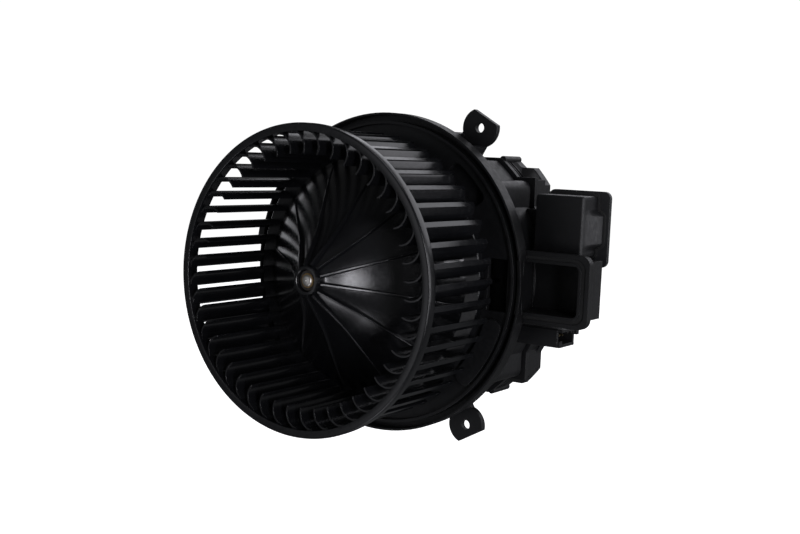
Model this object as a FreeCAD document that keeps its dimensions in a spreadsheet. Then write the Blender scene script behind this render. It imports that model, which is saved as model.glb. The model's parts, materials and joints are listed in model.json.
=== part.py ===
"""Blower motor wheel of a car cabin: squirrel-cage wheel, motor, carrier, duct and regulator.

Row frame, millimetres: the wheel spins about Y, its inlet faces -Y, +Z is up. The origin is the
centre of the three screw ears' circle, on the ears' front face.
"""
import FreeCAD, Part
import Sketcher
import math
import os
import re
from FreeCAD import Placement, Rotation, Vector

doc = FreeCAD.newDocument("BlowerMotorWheel")

# Every driving dimension, in mm or degrees. Names ending in _y are places along the axis.
DIMENSIONS = {
    # wheel
    "wheel_radius": 75.0, "wheel_front_y": -87.8,
    "ring_width": 4.0, "ring_depth": 5.0, "ring_face": 1.6, "ring_wall": 3.4,
    "blade_count": 47, "blade_first_angle": 5.6, "blade_tip_radius": 60.8, "blade_end_radius": 71.6,
    "blade_thickness": 0.85, "blade_arc_side": 7.24, "blade_arc_height": 63.39, "blade_arc_radius": 7.69,
    "blade_arc_finish": 101.0, "blade_end_side": 5.95, "blade_back_y": -28.5, "disc_radius": 68.3,
    "skirt_wall": 1.8,
    "hub_wall": 2.0, "hub_disc": 2.0, "collar_radius": 7.1, "collar_length": 14.0, "collar_front_y": -81.5,
    "collar_recess": 5.3, "collar_recess_depth": 3.0,
    "dome_nose_y": -76.6, "dome_shoulder_radius": 20.0, "dome_shoulder_y": -65.5,
    "dome_middle_radius": 34.0, "dome_middle_y": -54.8, "dome_rim_radius": 60.0, "dome_rim_y": -33.5,
    "rib_count": 12, "rib_width": 1.6, "rib_height": 1.0, "rib_reach": 44.0, "rib_first_angle": 20.8,
    # shaft and motor
    "shaft_radius": 3.0, "shaft_front_y": -80.8, "shaft_back_y": 19.0, "running_gap": 0.03,
    "clip_radius": 5.1, "clip_thickness": 0.8,
    "can_radius": 34.0, "can_wall": 1.6, "can_front_y": -50.0, "can_back_y": 10.0,
    "boss_radius": 10.0, "boss_length": 6.0, "bearing_radius": 8.0,
    "magnet_radius": 27.0, "magnet_sweep": 72.0, "magnet_front_y": -42.0, "magnet_back_y": -6.0,
    "core_radius": 26.0, "core_front_y": -38.0, "core_back_y": -10.0, "core_slots": 12,
    "slot_width": 4.0, "slot_floor": 12.0, "coil_length": 6.0, "coil_radius": 24.0,
    "commutator_radius": 10.0, "commutator_front_y": -3.5, "commutator_back_y": 5.0,
    "commutator_bars": 12, "brush_gap": 0.3, "brush_width": 5.0, "brush_length": 9.0,
    "card_back_y": 7.9, "card_thickness": 1.6,
    "terminal_inner": 18.0, "terminal_outer": 24.3, "terminal_angle": 25.0,
    # carrier
    "flange_radius": 83.0, "flange_front_y": -19.5, "flange_back_y": -12.0, "lip_width": 1.1,
    "groove_inner_radius": 78.7, "groove_floor_y": -13.5, "ridge_inner_radius": 77.2,
    "ridge_front_y": -19.0, "plate_front_y": -16.5, "plate_back_y": -14.0,
    "drum_radius": 76.0, "drum_side": 66.0, "drum_flat": 60.5, "drum_shoulder": 51.0,
    "drum_wall": 2.2, "drum_back_y": 19.0,
    "sleeve_radius": 39.5, "sleeve_bore": 37.0, "sleeve_front_y": -44.0,
    "web_count": 6, "web_thickness": 2.0, "web_back_y": 4.0,
    "screw_post_radius": 4.0, "screw_post_place": 43.4, "screw_radius": 1.6,
    "ear_circle_radius": 88.8, "ear_radius": 10.0, "ear_chord": 6.2, "ear_thickness": 3.2,
    "ear_hole_radius": 2.5, "ear_arm_half_width": 7.5, "ear_arm_inner": 66.0,
    "pad_inner": 66.0, "pad_outer": 75.8, "pad_height": 2.5, "pad_corner": 4.0,
    "notch_front_y": -17.0, "notch_half_height": 18.3,
    "window_half_height": 13.0, "window_inner": 63.0, "window_corner": 3.0,
    "window_arc_outer": 72.6, "window_arc_start": 35.0, "window_arc_sweep": 20.5,
    # rear cover
    "cover_radius": 77.5, "cover_side": 66.5, "cover_half_height": 57.5, "cover_flat": 62.0,
    "cover_corner_radius": 82.5, "cover_wall": 2.2, "step_y": 32.5, "cover_back_y": 38.5, "band_step": 0.5,
    "rim_height": 1.2, "rim_depth": 3.0, "latch_x": 47.0, "latch_z": 61.4, "latch_radius": 1.8,
    # cooling duct
    "duct_right": 111.0, "duct_front_y": -8.0, "duct_back_y": 11.0, "duct_half_height": 14.2,
    "duct_wall": 1.8, "mouth_left": 77.6, "mouth_right": 109.2, "mouth_half_height": 12.4,
    "frame_left": 75.2, "frame_right": 115.0, "frame_half_height": 17.8, "frame_front_y": -10.0,
    "frame_back_y": -7.5, "frame_corner": 5.0, "mouth_corner": 2.5, "lip_height": 1.5,
    "inner_lip_width": 1.6, "outer_lip_width": 2.2,
    # regulator
    "box_left": 78.5, "box_right": 104.0, "box_low": 15.5, "box_high": 45.3, "box_back_y": 18.0,
    "box_wall": 2.0, "bracket_low": 19.0, "bracket_high": 37.0, "bracket_front_y": 13.5,
    "box_edge": 0.9, "box_post_radius": 3.4, "box_post_x": 99.0, "box_post_margin": 4.0,
    "bulge_out": 3.7, "bulge_low": 18.5, "bulge_high": 38.5, "bulge_front_y": 5.0,
    "lid_left": 76.5, "lid_right": 110.0, "lid_low": 10.0, "lid_high": 47.7, "lid_thickness": 2.4,
    "lid_corner": 3.5, "sink_left": 79.5, "sink_right": 95.0, "sink_low": 14.0, "sink_high": 44.0,
    "sink_depth": 10.0, "sink_base": 2.5, "sink_fins": 8, "fin_thickness": 1.4,
    "board_left": 81.5, "board_right": 101.5, "board_low": 18.5, "board_high": 42.5,
    "board_front_y": 12.0, "board_thickness": 1.6,
    # socket
    "socket_right": 97.0, "socket_front_y": -2.0, "socket_back_y": 15.0, "socket_low": -29.5,
    "socket_high": -20.2, "socket_wall": 1.4, "socket_depth": 14.0, "pin_count": 4,
    "pin_width": 1.0, "pin_length": 8.5,
}

sheet = doc.addObject("Spreadsheet::Sheet", "dims")
for row, (alias, number) in enumerate(DIMENSIONS.items(), start=1):
    sheet.set(f"A{row}", alias)
    sheet.set(f"B{row}", str(number))
    sheet.setAlias(f"B{row}", alias)
doc.recompute()

ALONG_Y = Rotation(Vector(1, 0, 0), -90)
BOX_POSTS = ("box_low + box_post_margin", "box_high - box_post_margin")
NODES = []


def size(alias):
    """The number that the sheet holds for an alias."""
    return float(sheet.get(alias))


def bound(text):
    """An expression in which every alias points at its cell."""
    def cell(match):
        return "dims." + match.group() if match.group() in DIMENSIONS else match.group()

    return re.sub(r"[a-z][a-z_0-9]*", cell, text)


def spin(angle):
    """A turn about the wheel's axis, from +X towards +Z."""
    return Rotation(Vector(0, -1, 0), angle)


def new(kind, name, **sizes):
    """An object of the document whose sizes are bound to the sheet."""
    thing = doc.addObject(kind, name)
    for prop, text in sizes.items():
        thing.setExpression(prop, bound(text))
    return thing


def put(thing, x="0", y="0", z="0"):
    for axis, text in (("x", x), ("y", y), ("z", z)):
        thing.setExpression("Placement.Base." + axis, bound(text))
    return thing


def rod(name, radius, front, back, x="0", z="0"):
    """A cylinder along Y."""
    thing = new("Part::Cylinder", name, Radius=radius, Height=f"({back}) - ({front})")
    thing.Placement = Placement(Vector(), ALONG_Y)
    return put(thing, x, front, z)


def block(name, x, y, z):
    """A box; x, y and z are pairs of its low and high side."""
    spans = [f"({high}) - ({low})" for low, high in (x, y, z)]
    return put(new("Part::Box", name, Length=spans[0], Width=spans[1], Height=spans[2]), x[0], y[0], z[0])


def fuse(name, *parts):
    thing = new("Part::MultiFuse", name)
    thing.Shapes = list(parts)
    thing.Refine = True
    return thing


def common(name, *parts):
    thing = new("Part::MultiCommon", name)
    thing.Shapes = list(parts)
    return thing


def cut(name, base, *tools):
    thing = new("Part::Cut", name)
    thing.Base = base
    thing.Tool = tools[0] if len(tools) == 1 else fuse(name + "_tools", *tools)
    return thing


def turned(name, base, angle):
    """The same object, turned about the wheel's axis."""
    thing = new("Part::Compound", name)
    thing.Links = [base]
    thing.Placement = Placement(Vector(), spin(angle))
    return thing


def ring_of(name, base, count, first=0.0):
    """Copies of an object, evenly spaced about the wheel's axis."""
    copies = [turned(f"{name}_{k}", base, first + k * 360.0 / count) for k in range(count)]
    thing = new("Part::Compound", name)
    thing.Links = copies
    return thing


def tube(name, outer, inner, front, back, x="0", z="0"):
    return cut(name, rod(name + "_solid", outer, front, back, x, z),
               rod(name + "_bore", inner, f"({front}) - 1", f"({back}) + 1", x, z))


def sector(name, outer, inner, front, back, start, sweep):
    """Part of a tube, from the angle start over the angle sweep."""
    wedge = new("Part::Cylinder", name + "_wedge", Radius=outer, Height=f"({back}) - ({front})",
                Angle=str(sweep))
    wedge.Placement = Placement(Vector(), spin(start + sweep) * ALONG_Y)
    core = rod(name + "_core", inner, f"({front}) - 1", f"({back}) + 1")
    return cut(name, put(wedge, "0", front, "0"), core)


def rounded(name, base, radius, direction):
    """The object with its edges along one direction rounded."""
    doc.recompute()
    edges = [i for i, edge in enumerate(base.Shape.Edges, start=1)
             if abs(edge.tangentAt(edge.FirstParameter).dot(direction)) > 0.999]
    thing = new("Part::Fillet", name)
    thing.Base = base
    thing.Edges = [(i, size(radius), size(radius)) for i in edges]
    return thing


def turning(name, points):
    """A turned solid: the outline's points are (radius, y), as expressions."""
    body = doc.addObject("PartDesign::Body", name)
    plane = [f for f in body.Origin.OriginFeatures if f.Role == "XY_Plane"][0]
    sketch = body.newObject("Sketcher::SketchObject", name + "_outline")
    sketch.AttachmentSupport = [(plane, "")]
    sketch.MapMode = "FlatFace"
    count = len(points)
    rough = [Vector(50 + 9 * math.cos(2 * math.pi * k / count), 9 * math.sin(2 * math.pi * k / count), 0)
             for k in range(count)]
    for k in range(count):
        sketch.addGeometry(Part.LineSegment(rough[k], rough[(k + 1) % count]), False)
    for k in range(count):
        sketch.addConstraint(Sketcher.Constraint("Coincident", k, 2, (k + 1) % count, 1))
    for k, (radius, y) in enumerate(points):
        for kind, guess, text in (("DistanceX", rough[k].x, radius), ("DistanceY", rough[k].y, y)):
            index = sketch.addConstraint(Sketcher.Constraint(kind, -1, 1, k, 1, guess))
            sketch.setExpression(f"Constraints[{index}]", bound(text))
    turn = body.newObject("PartDesign::Revolution", name + "_turn")
    turn.Profile = sketch
    turn.ReferenceAxis = (sketch, ["V_Axis"])
    turn.Angle = 360
    body.Tip = turn
    return body


def shaped(name, shape):
    """A sub-part whose shape comes from Part's own functions."""
    thing = doc.addObject("Part::Feature", name)
    thing.Shape = shape
    return thing


def node(label, thing):
    """Names a finished sub-part."""
    thing.Label = label
    NODES.append(thing)
    return thing


# ---------------------------------------------------------------- wheel

def wheel_front_ring():
    """An L-shaped ring: a flat face at the inlet and a short outer wall behind it."""
    wall_bore = "wheel_radius - ring_wall"
    face_back = "wheel_front_y + ring_face"
    return turning("front_ring", [
        ("wheel_radius - ring_width", "wheel_front_y"), ("wheel_radius - 0.6", "wheel_front_y"),
        ("wheel_radius", "wheel_front_y + 0.6"), ("wheel_radius", "wheel_front_y + ring_depth"),
        (wall_bore, "wheel_front_y + ring_depth"), (wall_bore, face_back),
        ("wheel_radius - ring_width", face_back)])


def blade_outline():
    """One blade's section in the plane of the wheel: an arc of even thickness, then a short straight end."""
    side, height = size("blade_arc_side"), size("blade_arc_height")
    half, arc = size("blade_thickness") / 2, size("blade_arc_radius")
    start = math.atan2(size("blade_tip_radius") - height, -side) + 2 * math.pi
    finish = math.radians(size("blade_arc_finish"))
    middle = (start + finish) / 2

    def at(radius, angle):
        return Vector(height + radius * math.sin(angle), 0, side + radius * math.cos(angle))

    end = Vector(size("blade_end_radius") + 0.4, 0, size("blade_end_side"))
    along = end - at(arc, finish)
    along.normalize()
    offset = Vector(along.z, 0, -along.x) * half
    outer, inner = arc + half, arc - half
    tip = at(arc, start + half / arc)
    edges = [Part.Arc(at(outer, start), at(outer, middle), at(outer, finish)),
             Part.LineSegment(at(outer, finish), end + offset), Part.LineSegment(end + offset, end - offset),
             Part.LineSegment(end - offset, at(inner, finish)),
             Part.Arc(at(inner, finish), at(inner, middle), at(inner, start)),
             Part.Arc(at(inner, start), tip, at(outer, start))]
    return Part.Face(Part.Wire([edge.toShape() for edge in edges]))


def wheel_blades():
    """Every blade, from behind the front ring's face to the hub's disc."""
    front = size("wheel_front_y") + size("ring_face")
    length = size("blade_back_y") - front
    section = blade_outline()
    section.translate(Vector(0, front, 0))
    blade = section.extrude(Vector(0, length, 0))
    limit = Part.makeCylinder(size("blade_end_radius"), length + 2, Vector(0, front - 1, 0), Vector(0, 1, 0))
    disc = Part.makeCylinder(size("disc_radius"), 9, Vector(0, size("dome_rim_y"), 0), Vector(0, 1, 0))
    blade = blade.common(limit).cut(disc).Solids[0]
    blades = []
    for k in range(int(size("blade_count"))):
        copy = blade.copy()
        angle = size("blade_first_angle") + k * 360.0 / size("blade_count")
        copy.rotate(Vector(), Vector(0, -1, 0), angle)
        blades.append(copy)
    return shaped("blades", Part.makeCompound(blades))


def wheel_hub():
    """The bell-shaped hub: collar, radial ribs, and the disc and skirt that the blades stand on."""
    bell = turning("bell", [
        ("collar_radius", "dome_nose_y"), ("dome_shoulder_radius", "dome_shoulder_y"),
        ("dome_middle_radius", "dome_middle_y"), ("dome_rim_radius", "dome_rim_y"),
        ("disc_radius", "dome_rim_y"), ("disc_radius", "blade_back_y"),
        ("disc_radius - skirt_wall", "blade_back_y"), ("disc_radius - skirt_wall", "dome_rim_y + hub_disc"),
        ("dome_rim_radius - 1.2", "dome_rim_y + hub_disc"),
        ("dome_middle_radius - 1.4", "dome_middle_y + hub_wall"),
        ("dome_shoulder_radius - 1.2", "dome_shoulder_y + hub_wall"),
        ("collar_radius - 2", "dome_nose_y + hub_wall + 0.4")])
    collar = rod("collar", "collar_radius", "collar_front_y", "collar_front_y + collar_length")
    rib = block("rib", ("collar_radius - 1", "rib_reach"), ("dome_nose_y - 1", "dome_rim_y"),
                ("-rib_width / 2", "rib_width / 2"))
    fall = "(dome_rim_y - dome_middle_y) / (dome_rim_radius - dome_middle_radius)"
    skin = turning("rib_skin", [
        ("collar_radius - 1", "dome_nose_y - rib_height"),
        ("dome_shoulder_radius", "dome_shoulder_y - rib_height"),
        ("dome_middle_radius", "dome_middle_y - rib_height"),
        ("rib_reach", f"dome_middle_y + (rib_reach - dome_middle_radius) * {fall}"),
        ("dome_middle_radius", "dome_middle_y + 1"), ("dome_shoulder_radius", "dome_shoulder_y + 1"),
        ("collar_radius - 1", "dome_nose_y + 1")])
    ribs = common("ribs", ring_of("rib_ring", rib, int(size("rib_count")), size("rib_first_angle")), skin)
    whole = fuse("hub_solid", bell, collar, ribs)
    bore = rod("hub_bore", "shaft_radius", "collar_front_y - 1", "collar_front_y + collar_length + 3")
    recess = rod("hub_recess", "collar_recess", "collar_front_y - 1", "collar_front_y + collar_recess_depth")
    return cut("hub", whole, bore, recess)


# ---------------------------------------------------------------- shaft and motor

def shaft():
    return rod("shaft", "shaft_radius", "shaft_front_y", "shaft_back_y")


def wheel_clip():
    """A push-on spring washer that holds the wheel on the shaft."""
    front = "collar_front_y + collar_recess_depth - clip_thickness"
    return tube("wheel_clip", "clip_radius", "shaft_radius", front, "collar_front_y + collar_recess_depth")


def motor_can():
    """The drawn steel can, with the front bearing's nose."""
    shell = cut("can_shell", rod("can_solid", "can_radius", "can_front_y", "can_back_y"),
                rod("can_room", "can_radius - can_wall", "can_front_y + can_wall", "can_back_y + 1"))
    nose = rod("can_nose", "boss_radius", "can_front_y - boss_length", "can_front_y + 1")
    return cut("can", fuse("can_blank", shell, nose),
               rod("can_eye", "bearing_radius", "can_front_y - boss_length - 1", "can_front_y + 3"))


def bearing(name, front, back):
    return tube(name, "bearing_radius", "shaft_radius + running_gap", front, back)


def motor_end_cap():
    disc = rod("cap_disc", "can_radius - can_wall", "can_back_y - 2", "can_back_y")
    nose = rod("cap_nose", "boss_radius", "can_back_y - 1", "can_back_y + boss_length + 1")
    slot = block("cap_slot", ("terminal_inner - 0.5", "terminal_outer + 0.5"),
                 ("can_back_y - 3", "can_back_y + 1"), ("-1", "1"))
    return cut("cap", fuse("cap_blank", disc, nose),
               rod("cap_eye", "bearing_radius", "can_back_y - 3", "can_back_y + boss_length + 2"),
               ring_of("cap_slots", slot, 2, size("terminal_angle")))


def field_magnets():
    """Two curved magnets on the inside of the can."""
    half = size("magnet_sweep") / 2
    upper = sector("magnet", "can_radius - can_wall", "magnet_radius", "magnet_front_y", "magnet_back_y",
                   90 - half, size("magnet_sweep"))
    return ring_of("magnets", upper, 2)


def slot_tools(name, extra):
    """The slots between the core's teeth."""
    slot = block(name, ("slot_floor", "core_radius + 1"),
                 (f"core_front_y - {extra}", f"core_back_y + {extra}"), ("-slot_width / 2", "slot_width / 2"))
    return ring_of(name + "_ring", slot, int(size("core_slots")))


def armature_core():
    core = tube("core", "core_radius", "shaft_radius", "core_front_y", "core_back_y")
    return cut("core_slotted", core, slot_tools("core_slot", "1"))


def armature_windings():
    """The coil heads at both ends of the core; the coil sides lie in its slots."""
    inner = "shaft_radius + 2"
    heads = fuse("coil_heads",
                 tube("coil_front", "coil_radius", inner, "core_front_y - coil_length", "core_front_y"),
                 tube("coil_back", "coil_radius", inner, "core_back_y", "core_back_y + coil_length"))
    side = block("coil_side", ("slot_floor", "coil_radius - 0.5"), ("core_front_y - 1", "core_back_y + 1"),
                 ("-slot_width / 2", "slot_width / 2"))
    return fuse("windings", heads, ring_of("coil_sides", side, int(size("core_slots"))))


def commutator():
    """A copper drum with narrow slits between its bars."""
    drum = tube("commutator_drum", "commutator_radius", "shaft_radius",
                "commutator_front_y", "commutator_back_y")
    slit = block("commutator_slit", ("commutator_radius - 1.5", "commutator_radius + 1"),
                 ("commutator_front_y - 1", "commutator_back_y + 1"), ("-0.3", "0.3"))
    return cut("commutator", drum, ring_of("commutator_slits", slit, int(size("commutator_bars"))))


def brush_start():
    return "commutator_radius + brush_gap"


def brushes():
    brush = block("brush", (brush_start(), "commutator_radius + brush_gap + brush_length"),
                  ("commutator_front_y + 1.5", "commutator_front_y + 1.5 + brush_width"),
                  ("-brush_width / 2", "brush_width / 2"))
    return ring_of("brush_pair", brush, 2)


def brush_springs():
    """Two short coil springs behind the brushes, as plain sleeves."""
    spring = rod("spring_sleeve", "1.8", "0", "5")
    hole = rod("spring_hole", "1", "-1", "6")
    sleeve = cut("spring", spring, hole)
    sides = []
    for k, angle in enumerate((0, 180)):
        side = new("Part::Compound", f"spring_{k}")
        side.Links = [sleeve]
        reach = size("commutator_radius") + size("brush_gap") + size("brush_length")
        centre = size("commutator_front_y") + 1.5 + size("brush_width") / 2
        aim = Rotation(Vector(0, 1, 0), Vector(1, 0, 0))
        side.Placement = Placement(Vector(), spin(angle)) * Placement(Vector(reach, centre, 0), aim)
        sides.append(side)
    pair = new("Part::Compound", "spring_pair")
    pair.Links = sides
    return pair


def brush_card():
    """The moulded card that carries the two brush boxes."""
    card = tube("card_plate", "can_radius - can_wall - 0.2", "bearing_radius + 4",
                "card_back_y - card_thickness", "card_back_y")
    box = block("brush_box", (brush_start() + " + 1.5", "can_radius - can_wall - 1.5"),
                ("commutator_front_y + 0.3", "card_back_y - card_thickness + 0.2"),
                ("-brush_width / 2 - 1.2", "brush_width / 2 + 1.2"))
    room = block("brush_room", ("commutator_radius", "can_radius - can_wall - 3"),
                 ("commutator_front_y + 1.45", "commutator_front_y + 1.55 + brush_width"),
                 ("-brush_width / 2 - 0.05", "brush_width / 2 + 0.05"))
    boxes = cut("brush_box_hollow", box, room)
    return fuse("card", card, ring_of("brush_boxes", boxes, 2))


def motor_terminals():
    """Two blade tabs that come out through the end cap."""
    tab = block("terminal_tab", ("terminal_inner", "terminal_outer"), ("card_back_y", "can_back_y + 9"),
                ("-0.4", "0.4"))
    return ring_of("terminal_pair", tab, 2, size("terminal_angle"))


def isolator(name, front, back):
    """A rubber ring between the can and the carrier's sleeve."""
    return tube(name, "sleeve_bore", "can_radius", front, back)


def motor_retainer():
    """The ring behind the can, held by three screws."""
    ring = tube("retainer_ring", "sleeve_radius", "can_radius - 6", "can_back_y", "can_back_y + 2.5")
    ear = rod("retainer_ear", "screw_post_radius", "can_back_y", "can_back_y + 2.5", x="screw_post_place")
    hole = rod("retainer_hole", "screw_radius + 0.2", "can_back_y - 1", "can_back_y + 4",
               x="screw_post_place")
    return cut("retainer", fuse("retainer_blank", ring, ring_of("retainer_ears", ear, 3, 30.0)),
               ring_of("retainer_holes", hole, 3, 30.0))


def screw(name, x, z, face, grip):
    """A pan-head screw along Y, its head behind the face."""
    return fuse(name, rod(name + "_head", "screw_radius * 1.9", face, f"({face}) + 2", x, z),
                rod(name + "_shank", "screw_radius", f"({face}) - {grip}", face, x, z))


def motor_screws():
    one = screw("motor_screw", "screw_post_place", "0", "can_back_y + 2.5", "9")
    return ring_of("motor_screw_set", one, 3, 30.0)


# ---------------------------------------------------------------- carrier and rear cover

def drum_solid(name, inset, front, back):
    """The housing's outline: a drum with flat top and bottom and a square shoulder on the right."""
    flat = block(name + "_flat", ("-drum_radius", "drum_radius"), (front, back),
                 (f"{inset} - drum_flat", f"drum_flat - {inset}"))
    drum = common(name + "_round", rod(name + "_drum", f"drum_radius - {inset}", front, back), flat)
    shoulder = block(name + "_shoulder", ("0", f"drum_side - {inset}"), (front, back),
                     (f"{inset} - drum_shoulder", f"drum_shoulder - {inset}"))
    return fuse(name, drum, shoulder)


def drum_envelope(name):
    """The drum with its inside filled, as a tool for what stands against it."""
    return drum_solid(name, "0", "plate_back_y", "drum_back_y + 2")


def carrier_flange():
    """The mounting flange: lip, groove, ridge and the plate behind the wheel, with two windows, a
    raised pad and a notch where the cooling duct's mouth reaches under the lip."""
    ring = turning("flange", [
        ("sleeve_radius", "plate_front_y"), ("ridge_inner_radius", "plate_front_y"),
        ("ridge_inner_radius", "ridge_front_y"), ("groove_inner_radius", "ridge_front_y"),
        ("groove_inner_radius", "groove_floor_y"), ("flange_radius - lip_width", "groove_floor_y"),
        ("flange_radius - lip_width", "flange_front_y"), ("flange_radius", "flange_front_y"),
        ("flange_radius", "flange_back_y"), ("drum_radius", "flange_back_y"),
        ("drum_radius", "plate_back_y"), ("sleeve_radius", "plate_back_y")])
    along_y = Vector(0, 1, 0)
    pad = rounded("pad", sector("pad_arc", "pad_outer", "pad_inner", "plate_front_y - pad_height",
                                "plate_front_y + 1", -45, 31), "pad_corner", along_y)
    notch = block("duct_notch", ("groove_inner_radius + 2.2", "flange_radius + 1"),
                  ("notch_front_y", "flange_back_y + 1"), ("-notch_half_height", "notch_half_height"))
    tab = block("locating_tab", ("flange_radius - 1", "flange_radius + 2.8"),
                ("flange_front_y", "flange_back_y"), ("-5", "5"))
    through = ("plate_front_y - 1", "plate_back_y + 1")
    arc = sector("window_arc", "window_arc_outer", "window_inner", *through,
                 size("window_arc_start"), size("window_arc_sweep"))
    windows = [block("side_window", ("window_inner", "drum_radius - drum_wall"), through,
                     ("-window_half_height", "window_half_height")),
               rounded("curved_window", arc, "window_corner", along_y)]
    return cut("flange_open", fuse("flange_whole", ring, pad, turned("tab", tab, 170.7)), notch, *windows)


def carrier_drum():
    """The drum's wall, from the flange to the rear cover, with a port to the cooling duct."""
    outside = drum_solid("drum_outer", "0", "plate_back_y", "drum_back_y")
    inside = drum_solid("drum_inner", "drum_wall", "plate_back_y - 1", "drum_back_y + 1")
    port = block("duct_port", ("drum_side", "drum_radius + 1"),
                 ("duct_front_y + duct_wall", "duct_back_y - duct_wall"),
                 ("-mouth_half_height", "mouth_half_height"))
    rim = tube("drum_rim_clearance", "flange_radius + 5", "drum_radius", "plate_back_y - 1", "flange_back_y")
    return cut("drum", outside, inside, port, rim)


def motor_sleeve():
    """The tube that holds the motor, with radial webs and three screw posts."""
    sleeve = rod("sleeve", "sleeve_radius", "sleeve_front_y", "can_back_y")
    web = block("sleeve_web", ("sleeve_radius - 1", "drum_flat - drum_wall - 0.3"),
                ("plate_back_y", "web_back_y"), ("-web_thickness / 2", "web_thickness / 2"))
    post = rod("screw_post", "screw_post_radius", "plate_back_y", "can_back_y", x="screw_post_place")
    whole = fuse("sleeve_whole", sleeve, ring_of("sleeve_webs", web, int(size("web_count"))),
                 ring_of("screw_posts", post, 3, 30.0))
    hole = rod("post_hole", "screw_radius", "can_back_y - 8", "can_back_y + 1", x="screw_post_place")
    room = rod("sleeve_room", "sleeve_bore", "sleeve_front_y - 1", "can_back_y + 1")
    return cut("sleeve_open", whole, room, ring_of("post_holes", hole, 3, 30.0))


def screw_ears():
    """Three ears on the bolt circle: a round pad with a straight outer edge, on a webbed arm."""
    disc = rod("ear_disc", "ear_radius", "0", "ear_thickness", x="ear_circle_radius")
    window = block("ear_window", ("ear_circle_radius - 12", "ear_circle_radius + ear_chord"), ("-1", "5"),
                   ("-12", "12"))
    arm = block("ear_arm", ("ear_arm_inner", "ear_circle_radius - 3"), ("0", "ear_thickness"),
                ("-ear_arm_half_width", "ear_arm_half_width"))
    webs = [block(f"ear_web_{k}", ("ear_arm_inner", "flange_radius - 1.5"), ("flange_back_y", "1"), span)
            for k, span in enumerate((("ear_arm_half_width - 2", "ear_arm_half_width"),
                                      ("-ear_arm_half_width", "2 - ear_arm_half_width")))]
    ear = fuse("ear", common("ear_pad", disc, window), arm, *webs)
    hole = rod("ear_hole", "ear_hole_radius", "-1", "ear_thickness + 1", x="ear_circle_radius")
    ears = ring_of("ears", cut("ear_open", ear, hole), 3, 60.0)
    return cut("ear_set", ears, drum_envelope("ear_clearance"))


def cover_solid(name, inset, front, back):
    flat = block(name + "_flat", ("-cover_radius", "cover_radius"), (front, back),
                 (f"{inset} - cover_flat", f"cover_flat - {inset}"))
    drum = common(name + "_round", rod(name + "_drum", f"cover_radius - {inset}", front, back), flat)
    side = block(name + "_side", ("0", f"cover_side - {inset}"), (front, back),
                 (f"{inset} - cover_half_height", f"cover_half_height - {inset}"))
    corner = rod(name + "_corner", f"cover_corner_radius - {inset}", front, back)
    return fuse(name, drum, common(name + "_shoulder", side, corner))


def rear_cover():
    """The snap-on rear cover: a band that follows the drum, a wider back, a rim, ribs and latches."""
    back_face = "cover_back_y - cover_wall"
    outer = fuse("cover_outer", drum_solid("band_outer", "-band_step", "drum_back_y", "step_y"),
                 cover_solid("back_outer", "0", "step_y", "cover_back_y"))
    shell = cut("cover_shell", outer,
                drum_solid("band_inner", "(cover_wall - band_step)", "drum_back_y - 1", back_face),
                cover_solid("back_inner", "cover_wall", "step_y + cover_wall", back_face))
    rib = block("cover_rib", ("16", "cover_half_height - 2"), ("cover_back_y - 1", "cover_back_y + 1.6"),
                ("-1", "1"))
    ribs = ring_of("cover_ribs", rib, 8, 22.5)
    boss = tube("cover_boss", "17", "15", "cover_back_y - 1", "cover_back_y + 1.6")
    rim = drum_solid("cover_rim", "(-band_step - rim_height)", "drum_back_y", "drum_back_y + rim_depth")
    bars = [rod(f"latch_bar_{k}", "latch_radius", "drum_back_y + 2", "cover_back_y - 0.5", x="latch_x", z=z)
            for k, z in enumerate(("latch_z", "-latch_z"))]
    hooks = [block(f"cover_hook_{k}", ("-45", "-34"), ("drum_back_y", "drum_back_y + 12"), (low, high))
             for k, (low, high) in enumerate((("drum_flat - 1", "cover_flat + 1.5"),
                                              ("-cover_flat - 1.5", "1 - drum_flat")))]
    trim = cut("cover_trim", fuse("cover_trim_whole", rim, *bars, *hooks),
               drum_solid("trim_clearance", "0", "drum_back_y - 1", "cover_back_y"))
    return fuse("cover", shell, ribs, boss, trim)


# ---------------------------------------------------------------- cooling duct

def opening_block(name, grow, front, back):
    """The mouth's opening, grown by a margin on every side."""
    return block(name, (f"mouth_left - {grow}", f"mouth_right + {grow}"), (front, back),
                 (f"-mouth_half_height - {grow}", f"mouth_half_height + {grow}"))


def cooling_duct():
    """A rectangular elbow: the mouth faces the inlet side and the other end meets the drum."""
    along_y = Vector(0, 1, 0)
    shell = block("duct_shell", ("drum_side - 2", "duct_right"), ("duct_front_y", "duct_back_y"),
                  ("-duct_half_height", "duct_half_height"))
    plate = block("mouth_plate", ("frame_left", "frame_right"),
                  ("frame_front_y - lip_height", "frame_back_y"), ("-frame_half_height", "frame_half_height"))
    frame = rounded("mouth_frame", plate, "frame_corner", along_y)
    channel = block("lip_channel", ("frame_left + outer_lip_width", "frame_right - outer_lip_width"),
                    ("frame_front_y - lip_height - 1", "frame_front_y"),
                    ("outer_lip_width - frame_half_height", "frame_half_height - outer_lip_width"))
    lip = opening_block("inner_lip", "inner_lip_width", "frame_front_y - lip_height - 2", "frame_front_y + 1")
    keep = rounded("inner_lip_keep", lip, "frame_corner", along_y)
    groove = cut("lip_groove", rounded("lip_channel_round", channel, "frame_corner", along_y), keep)
    whole = fuse("duct_whole", shell, cut("framed_mouth", frame, groove))
    room = block("duct_room", ("drum_side - 3", "duct_right - duct_wall"),
                 ("duct_front_y + duct_wall", "duct_back_y - duct_wall"),
                 ("-mouth_half_height", "mouth_half_height"))
    mouth = rounded("mouth_hole", opening_block("mouth", "0", "frame_front_y - 5", "duct_back_y - duct_wall"),
                    "mouth_corner", along_y)
    return cut("duct", whole, room, mouth, drum_envelope("duct_clearance"))


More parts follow.
